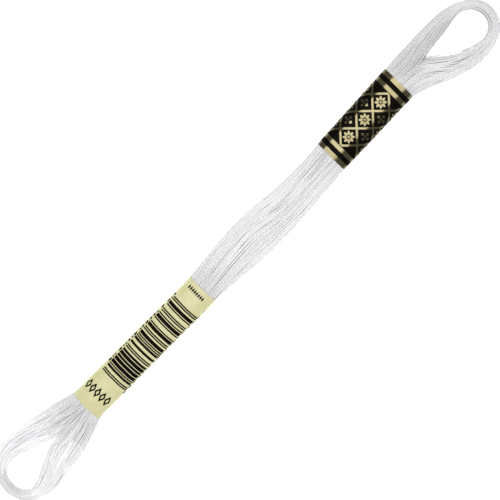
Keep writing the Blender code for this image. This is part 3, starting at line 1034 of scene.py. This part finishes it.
@dataclass(frozen=True)
class PaperBand:
    """A paper band glued round the hank, with its ends lapped under the hank."""

    name: str
    slot: str
    start: float
    end: float
    form: WoundForm
    seed: int
    thickness: float = 0.12
    floor_gap: float = 0.03
    lap: float = 3.2
    lap_step: float = 0.9
    lap_lift: float = 1.05
    fine_step: float = 0.45
    sharp_degrees: float = 50.0
    girth_sections: int = 9
    girth_points: int = 721
    sections: int = 61
    turns: tuple = (-0.75, 1.75)
    turn_points: int = 1501
    grid_margin: float = 1.0
    grid_points: int = 401
    ridges: int = 9
    ridge_length: tuple = (14.0, 60.0)
    ridge_width: tuple = (1.6, 4.5)
    ridge_size: tuple = (0.3, 1.0)
    lump: float = 0.05
    lumps_from: float = 1.0
    lumps_fade: float = 1.5

    def outline(self, x: np.ndarray, angles: np.ndarray) -> np.ndarray:
        """Points round the band.

        Args:
            x: places along the hank.
            angles: which way each point lies from the middle, with the top at a quarter turn.

        Returns:
            Points as x by angle by (y, z).
        """
        _, low, high, _, height, _ = self.form.body_rows(x).T[:, :, None]
        power = 2 / self.form.squareness
        waist = self.form.waist * height
        across = np.sign(np.cos(angles)) * np.abs(np.cos(angles)) ** power
        up = np.sign(np.sin(angles)) * np.abs(np.sin(angles)) ** power
        y = (low + high) / 2 + (high - low) / 2 * across
        z = waist + np.where(up < 0, waist, height - waist) * up - self.form.bed_depth
        return np.stack((y, np.maximum(z, self.thickness + self.floor_gap)), axis=-1)

    def perimeter(self) -> float:
        """Measures the way round the band.

        Returns:
            Its mean length.
        """
        x = np.linspace(self.start, self.end, self.girth_sections)
        ring = self.outline(x, np.linspace(0, math.tau, self.girth_points))
        return float(np.linalg.norm(np.diff(ring, axis=1), axis=2).sum(axis=1).mean())

    def across(self) -> tuple[float, float]:
        """Places of the sheet's two edges, from the middle of its upper side."""
        half = self.perimeter() / 2
        return -half, half + self.lap

    def surface(self, flat: np.ndarray, inward: np.ndarray) -> np.ndarray:
        """Where places of the flat sheet lie on the hank.

        Args:
            flat: places across and along the sheet.
            inward: how far under the outer face each is.

        Returns:
            Points in mm.
        """
        x = np.linspace(self.start, self.end, self.sections)
        angles = np.linspace(*self.turns, self.turn_points) * math.tau
        ring = self.outline(x, angles)
        steps = np.linalg.norm(np.diff(ring, axis=1), axis=2)
        ways = np.concatenate((np.zeros((len(x), 1)), np.cumsum(steps, axis=1)), axis=1)
        top = int(np.argmin(np.abs(angles - math.tau / 4)))
        ways = ways[:, top : top + 1] - ways
        least, most = self.across()
        grid = np.linspace(least - self.grid_margin, most + self.grid_margin, self.grid_points)
        table = np.stack([
            np.stack([np.interp(grid, w[::-1], r[::-1, axis]) for axis in (0, 1)], axis=-1)
            for w, r in zip(ways, ring)
        ])
        slope = np.gradient(table, grid, axis=1)
        normal = np.stack((-slope[..., 1], slope[..., 0]), axis=-1)
        normal /= np.linalg.norm(normal, axis=-1, keepdims=True)
        lapped = ease((grid - most + self.lap + self.lap_step) / self.lap_step)
        lift = self.thickness * self.lap_lift * lapped
        on_top = ease((table[..., 1] - self.lumps_from) / self.lumps_fade)
        raised = lift[None, :] + self.lumps(grid, x) * on_top
        column = np.interp(flat[:, 0], grid, np.arange(len(grid)))
        row = np.interp(flat[:, 1], x, np.arange(len(x)))
        point = bilinear(table + normal * raised[..., None], row, column)
        point += bilinear(normal, row, column) * -inward[:, None]
        return np.column_stack((flat[:, 1], point))

    def lumps(self, across: np.ndarray, along: np.ndarray) -> np.ndarray:
        """How far the thread beneath presses the paper out.

        Args:
            across: places across the flat sheet.
            along: places along it.

        Returns:
            The height of its lumps, as along by across.
        """
        rng = np.random.default_rng(self.seed)
        made = np.zeros((len(along), len(across)))
        for _ in range(self.ridges):
            length, width = rng.uniform(*self.ridge_length), rng.uniform(*self.ridge_width)
            ridge = np.sin(
                math.tau * (across[None, :] / width + along[:, None] / length)
                + rng.uniform(0, math.tau)
            )
            made += ridge * rng.uniform(*self.ridge_size)
        return made * self.lump / math.sqrt(self.ridges)

    def build(self, artwork: Artwork, finishes: list) -> bpy.types.Object:
        """The band as one closed sheet of paper with its print.

        Args:
            artwork: the print on its flat sheet.
            finishes: a material for each ink.

        Returns:
            The piece, which stands for the CAD's band of the same name.
        """
        flat, triangles, inks = artwork.flat_mesh(self.fine_step)
        count = len(flat)
        outside = self.surface(flat, np.zeros(count))
        inside = self.surface(flat, np.full(count, self.thickness))
        edges = np.concatenate([triangles[:, [k, (k + 1) % 3]] for k in range(3)])
        twins = {(b, a) for a, b in edges.tolist()}
        rim = [(a, b) for a, b in edges.tolist() if (a, b) not in twins]
        faces = triangles[:, ::-1].tolist() + (triangles + count).tolist()
        faces += [(a, b, b + count, a + count) for a, b in rim]
        mesh = bpy.data.meshes.new(self.name)
        mesh.from_pydata(np.concatenate((outside, inside)) * MM, [], faces)
        plain = [int(Ink.INSIDE)] * (len(triangles) + len(rim))
        mesh.polygons.foreach_set("material_index", inks.tolist() + plain)
        layer = mesh.uv_layers.new(name="UVMap")
        corners = np.empty(len(mesh.loops), np.int32)
        mesh.loops.foreach_get("vertex_index", corners)
        layer.uv.foreach_set("vector", flat[corners % count].astype(np.float32).ravel())
        mesh.shade_smooth()
        mesh.set_sharp_from_angle(angle=math.radians(self.sharp_degrees))
        piece = add_piece(self.name + "_paper", mesh, finishes)
        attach(piece, BODY_NAME)
        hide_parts(self.name)
        least, most = artwork.across
        size = (most - least, self.end - self.start)
        total = 2 * len(triangles) + 2 * len(rim)
        LOG.info("%s: flat sheet %.1f x %.1f mm, %d triangles", piece.name, *size, total)
        return piece


def bilinear(table: np.ndarray, row: np.ndarray, column: np.ndarray) -> np.ndarray:
    """Values of a table between its rows and columns.

    Args:
        table: the table, as rows by columns by values.
        row: how far down each place is, in rows.
        column: how far across it is, in columns.

    Returns:
        The values at each place.
    """
    i = np.clip(row.astype(int), 0, table.shape[0] - 2)
    j = np.clip(column.astype(int), 0, table.shape[1] - 2)
    s, t = (row - i)[:, None], (column - j)[:, None]
    near = table[i, j] * (1 - t) + table[i, j + 1] * t
    far = table[i + 1, j] * (1 - t) + table[i + 1, j + 1] * t
    return near * (1 - s) + far * s


class DashRow(NamedTuple):
    """A row of dashes: its place across, its two ends along, and its own seed."""

    across: float
    start: float
    end: float
    seed: int


@dataclass(frozen=True)
class BarLabel:
    """The cream band's print: bars, rows of plain dashes and two rows of lozenges."""

    band: PaperBand
    module: float = 0.264
    bars_start: float = -40.9
    bars_across: tuple = (-4.15, 3.65)
    guard_across: tuple = (-4.5, 3.65)
    rhythm: tuple = (
        (1, 1), (1, 3), (2, 1), (1, 1), (3, 1), (3, 1), (2, 1), (3, 1), (2, 2), (1, 1),
        (1, 3), (2, 3), (2, 1), (1, 1), (1, 1), (3, 2), (1, 1), (1, 2), (3, 1), (1, 4),
        (1, 1), (3, 1), (1, 2), (1, 1), (1, 4), (1, 1), (3, 2), (1, 1), (1, 0),
    )
    guards: tuple = (0, 1, 13, 14, 27, 28)
    spread: float = 0.05
    dash_rows: tuple = (DashRow(4.1, -38.5, -16.0, 3), DashRow(-4.65, -42.0, -14.2, 4))
    dash_lengths: tuple = (0.35, 0.6, 0.9)
    dash_spaces: tuple = (0.4, 0.6, 1.1)
    dash_half: float = 0.3
    lozenges: range = range(-2, 3)
    lozenge_at: tuple = (0.35, -45.7)
    lozenge_pitch: float = 1.55
    lozenge_half: tuple = (0.74, 1.5)
    lozenge_hole: tuple = (0.3, 0.66)
    small_lozenges: range = range(-3, 5)
    small_at: tuple = (0.1, -12.2)
    small_pitch: float = 0.62
    small_half: tuple = (0.28, 0.66)

    def draw(self) -> Artwork:
        """Draws the print.

        Returns:
            The print on the band's flat sheet.
        """
        art = Artwork(self.band.across(), (self.band.start, self.band.end))
        place = self.bars_start
        for k, (bar, space) in enumerate(self.rhythm):
            across = self.guard_across if k in self.guards else self.bars_across
            along = (place - self.spread, place + bar * self.module + self.spread)
            art.draw(rectangle(across, along), Ink.BLACK)
            place += (bar + space) * self.module
        for row in self.dash_rows:
            self.dashes(art, row)
        self.ornaments(art)
        return art

    def dashes(self, art: Artwork, row: DashRow) -> None:
        """Draws a row of short plain dashes along an edge of the bars.

        Args:
            art: the print.
            row: where the dashes are.
        """
        rng = np.random.default_rng(row.seed)
        across = (row.across - self.dash_half, row.across + self.dash_half)
        place = row.start
        while place < row.end:
            length = rng.choice(self.dash_lengths)
            art.draw(rectangle(across, (place, place + length)), Ink.BLACK)
            place += length + rng.choice(self.dash_spaces)

    def ornaments(self, art: Artwork) -> None:
        """Draws lozenges across the band near one end, and smaller ones near the other.

        Args:
            art: the print.
        """
        across, along = self.lozenge_at
        for k in self.lozenges:
            place = across + self.lozenge_pitch * k
            art.draw(lozenge(place, along, *self.lozenge_half), Ink.BLACK)
            art.draw(lozenge(place, along, *self.lozenge_hole), Ink.GROUND)
        across, along = self.small_at
        for k in self.small_lozenges:
            place = across + self.small_pitch * k
            art.draw(lozenge(place, along, *self.small_half), Ink.BLACK)


@dataclass(frozen=True)
class LatticeBand:
    """The black and gold band's print: end stripes, and flowers in a lattice."""

    band: PaperBand
    edge: float = 1.1
    stripe: float = 1.15
    strip: float = 0.95
    line: float = 0.18
    repeats: int = 4
    rows: int = 3
    trellis: float = 0.34
    flower_margin: float = 1.5
    large_petals: tuple = (8, 1.5, 0.62)
    small_petals: tuple = (4, 1.15, 0.75)
    petal_from: float = 0.42
    eye_radius: float = 0.26

    def draw(self) -> Artwork:
        """Draws the print, whose ground is gold.

        Returns:
            The print on the band's flat sheet.
        """
        art = Artwork(self.band.across(), (self.band.start, self.band.end))
        inset = self.edge + self.stripe + self.strip + self.line
        stripes = ((self.edge, self.edge + self.stripe), (inset - self.line, inset))
        for end, way in ((self.band.start, 1), (self.band.end, -1)):
            for outer, inner in stripes:
                art.stripe(*sorted((end + way * outer, end + way * inner)), Ink.BLACK)
        self.lattice(art, self.band.start + inset, self.band.end - inset)
        return art

    def lattice(self, art: Artwork, start: float, end: float) -> None:
        """Draws black lozenges between gold lines, each whole one with a gold flower in it.

        Args:
            art: the print.
            start: where the lattice begins along the band.
            end: where it ends.
        """
        pitch_u = self.band.perimeter() / self.repeats
        pitch_v = (end - start) / self.rows
        half_u = pitch_u / 2 - self.trellis
        half_v = pitch_v / 2 - self.trellis * pitch_v / pitch_u
        field = Artwork(art.across, (start, end))
        for k in range(-2 * self.repeats, 2 * self.repeats + 1):
            for m in range(2 * self.rows + 1):
                if (k + m) % 2 == 0:
                    continue
                u, v = k * pitch_u / 2, start + m * pitch_v / 2
                field.draw(lozenge(u, v, half_u, half_v), Ink.BLACK)
                whole = 0 < m < 2 * self.rows
                least, most = art.across
                if whole and least + self.flower_margin < u < most - self.flower_margin:
                    self.flower(field, u, v, large=m % 2 == 1)
        art.patches += field.patches

    def flower(self, art: Artwork, u: float, v: float, large: bool) -> None:
        """Draws a flower of eight petals, or a smaller one of four, round a dot.

        Args:
            art: the print.
            u: its place across.
            v: its place along.
            large: whether it has eight petals.
        """
        count, reach, width = self.large_petals if large else self.small_petals
        for k in range(count):
            angle = math.tau * k / count
            art.draw(petal(u, v, angle, self.petal_from, reach, width), Ink.GOLD)
        art.draw(disc(u, v, self.eye_radius), Ink.GOLD)


@dataclass(frozen=True)
class Floss:
    """The thread: one length wound round the ring, turn after turn."""

    winding: Winding
    columns: int = 8
    rows: int = 3
    strands: int = 6
    strand_radius: float = 0.2
    thinning: float = 0.42
    snug_area: float = 18.0
    puff: tuple = (0.95, 1.35)
    flat_pattern: tuple = ((-1, -0.5), (1, -0.5), (0, -0.5), (0, 0.5), (-1, 0.5), (1, 0.5))
    flat_from: tuple = (0.5, 1.1)
    cling: float = 1.0
    loose_cling: float = 0.1
    sway: float = 0.6
    loose_sway: float = 0.5
    drift: float = 0.06
    column_wander: float = 0.02
    wander: float = 0.007
    loose_wander: float = 0.02
    strand_wander: float = 0.008
    edge_calm: float = 0.16
    smoothing: float = 1.8
    thin_inside: float = 0.45
    loose_strand_wander: float = 1.2
    thread_waves: tuple = (2, 9)
    sunk_waves: tuple = (2, 16)
    column_waves: tuple = (3, 9)
    drift_waves: tuple = (3, 11)
    sway_waves: tuple = (2, 12)
    strand_waves: tuple = (4, 22)
    stagger: float = 0.25
    loose_stagger: float = 0.4
    deepest: float = 1.5
    least_share: float = 0.012
    floor_gap: float = 0.01
    stray_share: float = 0.06
    relief: float = 0.05
    change_length: float = 17.0
    turns_a_piece: int = 6
    sides: int = 6
    seed: int = 11

    @property
    def turns(self) -> int:
        """How many times the thread goes round the ring."""
        return self.columns * self.rows

    def homes(self) -> np.ndarray:
        """Each turn's own place at each station.

        Returns:
            Its share across by area and its share of the height, each as turns by stations.
        """
        k = np.arange(self.turns)
        column, row = k // self.rows, k % self.rows
        row = np.where(column % 2 == 1, self.rows - 1 - row, row)
        s = self.winding.sections
        shift = np.where(row % 2 == 1, self.stagger, -self.stagger)[:, None] * s.side
        shift = shift * (1 - self.loose_stagger * s.loose)
        across = (column[:, None] + 0.5 + shift) / self.columns
        up = np.broadcast_to((row[:, None] + 0.5) / self.rows, across.shape)
        return np.stack((across, up))

    def pattern(self, flatness: np.ndarray) -> np.ndarray:
        """Places of a thread's strands in its cell: two by three in a tall cell.

        Args:
            flatness: width over height of the cells, as turns by stations.

        Returns:
            Shares across and up, each as turns by strands by stations.
        """
        k = np.arange(self.strands)
        tall = np.stack(((k % 2 - 0.5) / 2, (k // 2 - 1) / 3))
        flat = (np.array(self.flat_pattern) / (3, 2)).T
        start, end = self.flat_from
        share = ease((flatness - start) / (end - start))[:, None]
        tall, flat = tall[:, None, :, None], flat[:, None, :, None]
        return tall + (flat - tall) * share

    def turn_paths(self) -> np.ndarray:
        """Lays each strand of each turn round the ring.

        Returns:
            Their paths, as turns by strands by stations by 3.
        """
        rng = np.random.default_rng(self.seed)
        s = self.winding.sections
        stations = len(s.height)
        home = self.homes()
        size = self.wander + self.loose_wander * s.loose
        thread = [
            home[k] + size * slow_waves(rng, self.turns, stations, self.thread_waves)
            for k in (0, 1)
        ]
        sunk = slow_waves(rng, self.columns, stations, self.sunk_waves)
        sunk = np.clip(sunk, 0, self.deepest)
        thread[1] *= 1 - self.relief * np.repeat(sunk, self.rows, axis=0)
        columns = slow_waves(rng, self.columns, stations, self.column_waves)
        thread[0] += self.column_wander * s.loose * np.repeat(columns, self.rows, axis=0)
        drifts = self.drift * slow_waves(rng, 2, stations, self.drift_waves)
        sway = slow_waves(rng, self.turns, stations, self.sway_waves)
        sway = (self.sway + self.loose_sway * s.loose) * sway
        cling = self.cling * (1 - self.loose_cling * s.loose)
        cos, sin = (cling * np.cos(sway))[:, None], (cling * np.sin(sway))[:, None]
        across, up = self.pattern(self.winding.cell_flatness(home[0], self.columns, self.rows))
        offsets = (across * cos - up * sin, across * sin + up * cos)
        shares = []
        for k, cells in enumerate((self.columns, self.rows)):
            own = slow_waves(rng, self.turns * self.strands, stations, self.strand_waves)
            own = own.reshape(self.turns, self.strands, stations)
            share = np.clip(thread[k][:, None] + offsets[k] / cells, 0, 1)
            calm = np.clip(share * (1 - share) / self.edge_calm, 0, 1)
            wander = self.strand_wander * (1 + self.loose_strand_wander * s.loose)
            share = share + wander * own * calm
            share += drifts[k] * np.sin(math.pi * share)
            shares.append(np.clip(share, self.least_share, 1).reshape(-1, stations))
        shares[0] = shares[0] ** (1 - self.thin_inside * s.loose - s.sparse)
        stray = rng.uniform(size=(self.turns * self.strands, 1))
        paths = self.winding.place(*shares, stray)
        paths = paths.reshape(self.turns, self.strands, stations, 3)
        return self.smoothed(paths)

    def smoothed(self, paths: np.ndarray) -> np.ndarray:
        """Takes the sharp bends out of closed paths and keeps the wide ones.

        Args:
            paths: points in mm, whose last station is the first again.

        Returns:
            The smoothed paths.
        """
        waves = np.fft.rfft(paths[:, :, :-1], axis=2)
        ring_share = np.arange(waves.shape[2]) / (paths.shape[2] - 1)
        kept = np.exp(-((math.tau * self.smoothing * ring_share) ** 2) / 2)
        waves *= (2 * kept - kept**2)[:, None]
        made = np.fft.irfft(waves, n=paths.shape[2] - 1, axis=2)
        return np.concatenate((made, made[:, :, :1]), axis=2)

    def radii(self) -> np.ndarray:
        """How thick a strand is: more where the winding leaves it room.

        Returns:
            Its radius at each station.
        """
        s = self.winding.sections
        width = np.linalg.norm(s.outer - s.inner, axis=1)
        room = np.sqrt(width * s.height / self.snug_area)
        return self.strand_radius * np.clip(room, *self.puff) * (1 - self.thinning * s.loose)

    def wound(self) -> np.ndarray:
        """Leads each turn into the next one under the cream band.

        Returns:
            The paths, as in turn_paths.
        """
        paths = self.turn_paths()
        count = round(self.change_length / self.winding.form.step)
        share = ease(np.linspace(0, 1, count + 1))[:, None]
        following = np.roll(paths, -1, axis=0)[:, :, -count - 1 :]
        tail = paths[:, :, -count - 1 :]
        paths[:-1, :, -count - 1 :] = (tail * (1 - share) + following * share)[:-1]
        return paths

    def build(self, gaps: tuple, finish: bpy.types.Material) -> list[bpy.types.Object]:
        """The floss in a few pieces of some turns each.

        Args:
            gaps: lines along which its bundles stand apart.
            finish: the floss's material.

        Returns:
            The pieces.
        """
        paths = self.wound()
        rng = np.random.default_rng(self.seed + 1)
        ties = rng.uniform(size=(self.turns, self.strands, 1))
        follow = np.where(ties < self.stray_share, ties / self.stray_share, 1.0)
        for gap in gaps:
            gap.open_up(paths, follow)
        thin = self.radii()
        paths[..., 2] = np.maximum(paths[..., 2], thin + self.floor_gap)
        pieces = []
        for first in range(0, self.turns, self.turns_a_piece):
            group = paths[first : first + self.turns_a_piece]
            joined = np.concatenate([turn[:, :-1] for turn in group[:-1]] + [group[-1]], axis=1)
            radii = np.concatenate([thin[:-1]] * (len(group) - 1) + [thin])
            radii = np.broadcast_to(radii, joined.shape[:2])
            name = f"floss_turns_{first + 1}_to_{first + len(group)}"
            mesh = tube_mesh(name, joined, radii, self.sides)
            piece = add_piece(name, mesh, [finish])
            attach(piece, BODY_NAME)
            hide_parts("floss_hank")
            pieces.append(piece)
            LOG.info("%s: %d strands, %d faces", name, len(joined), len(mesh.polygons))
        return pieces


FAR_GAPS = (
    Gap((GapRow(57.0, -0.6, 0), GapRow(60.0, -1.6, 0.15), GapRow(63.0, -2.9, 0.3),
         GapRow(66.0, -4.1, 0.3), GapRow(70.0, -5.5, 0.2), GapRow(74.5, -6.1, 0)),
        reach=1.7, crossing=0.3),
)
BODY_GROOVES = (
    ((-10.0, 0.9, 0.03), (-6.0, 1.6, 0.12), (-3.5, 2.05, 0.13), (0.0, 2.6, 0.13),
     (3.5, 3.4, 0.16), (6.8, 3.5, 0)),
    ((6.2, 1.75, 0), (9.5, 1.72, 0.08), (14.3, 1.25, 0.1), (18.0, 0.4, 0.1),
     (22.0, -0.8, 0)),
    ((-10.6, 0.35, 0.06), (-6.5, 0.5, 0.08), (-3.0, 0.8, 0.06), (2.5, 1.25, 0)),
    ((4.5, -0.7, 0), (8.5, -0.9, 0.08), (13.0, -1.5, 0.1), (16.5, -2.5, 0)),
    ((-10.6, 1.6, 0.12), (-7.5, 1.55, 0.1), (-4.5, 1.4, 0)),
)
GAPS = FAR_GAPS + tuple(
    Gap(tuple(GapRow(*row) for row in rows), reach=1.0, crossing=0.15, through=False, sink=0.2)
    for rows in BODY_GROOVES
)


class Lamp(NamedTuple):
    """A square soft lamp: its name, its place and side in mm, and its watts."""

    name: str
    at: tuple
    side: float
    watts: float


@dataclass(frozen=True)
class Studio:
    """A white floor, soft lamps and the camera."""

    camera_at: tuple = (43.98, 0.95, 285.0)
    camera_target: tuple = (3.28, -1.05, 0.0)
    roll: float = 45.0
    focal_pixels: float = 1236.0
    image_pixels: float = 500.0
    sensor: float = 36.0
    clip: tuple = (0.01, 10.0)
    floor_side: float = 4000.0
    floor_white: tuple = (0.85, 0.85, 0.85, 1)
    white: tuple = (1, 1, 1, 1)
    world_strength: float = 0.3
    lamps: tuple = (
        Lamp("key", at=(50.0, 50.0, 560.0), side=400.0, watts=3.25),
        Lamp("fill", at=(-260.0, -380.0, 420.0), side=300.0, watts=0.4),
    )

    def camera(self) -> bpy.types.Object:
        """Sets the camera, which sees the hank along the picture's rising diagonal.

        Returns:
            The camera.
        """
        data = bpy.data.cameras.new("camera")
        data.sensor_width = self.sensor
        data.lens = self.focal_pixels / self.image_pixels * data.sensor_width
        data.clip_start, data.clip_end = self.clip
        look = (Vector(self.camera_target) - Vector(self.camera_at)).normalized()
        along = (Vector((1, 0, 0)) - look * look.x).normalized()
        across = along.cross(look)
        turn = math.radians(self.roll)
        right = along * math.cos(turn) - across * math.sin(turn)
        up = along * math.sin(turn) + across * math.cos(turn)
        made = bpy.data.objects.new("camera", data)
        rotation = Matrix((right, up, -look)).transposed().to_4x4()
        made.matrix_world = Matrix.Translation(Vector(self.camera_at) * MM) @ rotation
        bpy.context.scene.collection.objects.link(made)
        bpy.context.scene.camera = made
        return made

    def floor(self) -> bpy.types.Object:
        """Lays a white floor that is bright enough to show no shadow.

        Returns:
            The floor.
        """
        half = self.floor_side / 2 * MM
        mesh = bpy.data.meshes.new("floor")
        corners = [(-half, -half, 0), (half, -half, 0), (half, half, 0), (-half, half, 0)]
        mesh.from_pydata(corners, [], [(0, 1, 2, 3)])
        made = Shading(
            "white_floor", Base_Color=self.floor_white, Roughness=0.9, Specular_IOR_Level=0.0,
            Emission_Color=self.white, Emission_Strength=1.0,
        )
        floor = add_piece("floor", mesh, [made.material])
        return floor

    def hang(self, lamp: Lamp) -> bpy.types.Object:
        """Hangs a lamp so that it faces the hank.

        Args:
            lamp: its place, size and power.

        Returns:
            The lamp's object.
        """
        data = bpy.data.lights.new(lamp.name, "AREA")
        data.size = lamp.side * MM
        data.energy = lamp.watts
        made = bpy.data.objects.new(lamp.name, data)
        made.location = Vector(lamp.at) * MM
        made.rotation_euler = (-Vector(lamp.at)).to_track_quat("-Z", "Y").to_euler()
        bpy.context.scene.collection.objects.link(made)
        return made

    def build(self) -> None:
        """The whole studio."""
        self.camera()
        self.floor()
        for lamp in self.lamps:
            self.hang(lamp)
        world = bpy.data.worlds.new("studio")
        world.use_nodes = True
        sky = world.node_tree.nodes["Background"].inputs
        sky["Color"].default_value = self.white
        sky["Strength"].default_value = self.world_strength
        scene = bpy.context.scene
        scene.world = world
        scene.view_settings.view_transform = "Standard"
        scene.cycles.diffuse_bounces = 24
        scene.cycles.max_bounces = 32


def main() -> None:
    """Builds the studio, the floss and the two bands, in that order."""
    logging.basicConfig(level=logging.INFO, format="%(name)s: %(message)s")
    Studio().build()
    form = WoundForm()
    winding = Winding(form, form.ring())
    floss = FlossFinish().make()
    Floss(winding).build(GAPS, floss)
    label = PaperBand("label_sleeve", "cream_paper", start=-50.4, end=-10.5, form=form, seed=7)
    inks = [finish.make() for finish in (CREAM_PAPER, BLACK_INK, GOLD_INK, PAPER_BACK)]
    label.build(BarLabel(label).draw(), inks)
    wide = PaperBand("wide_sleeve", "black_gold_paper", start=32.0, end=54.5, form=form, seed=9)
    inks = [finish.make() for finish in (GOLD_INK, BLACK_INK, GOLD_INK, PAPER_BACK)]
    wide.build(LatticeBand(wide).draw(), inks)


if __name__ == "__main__":
    main()
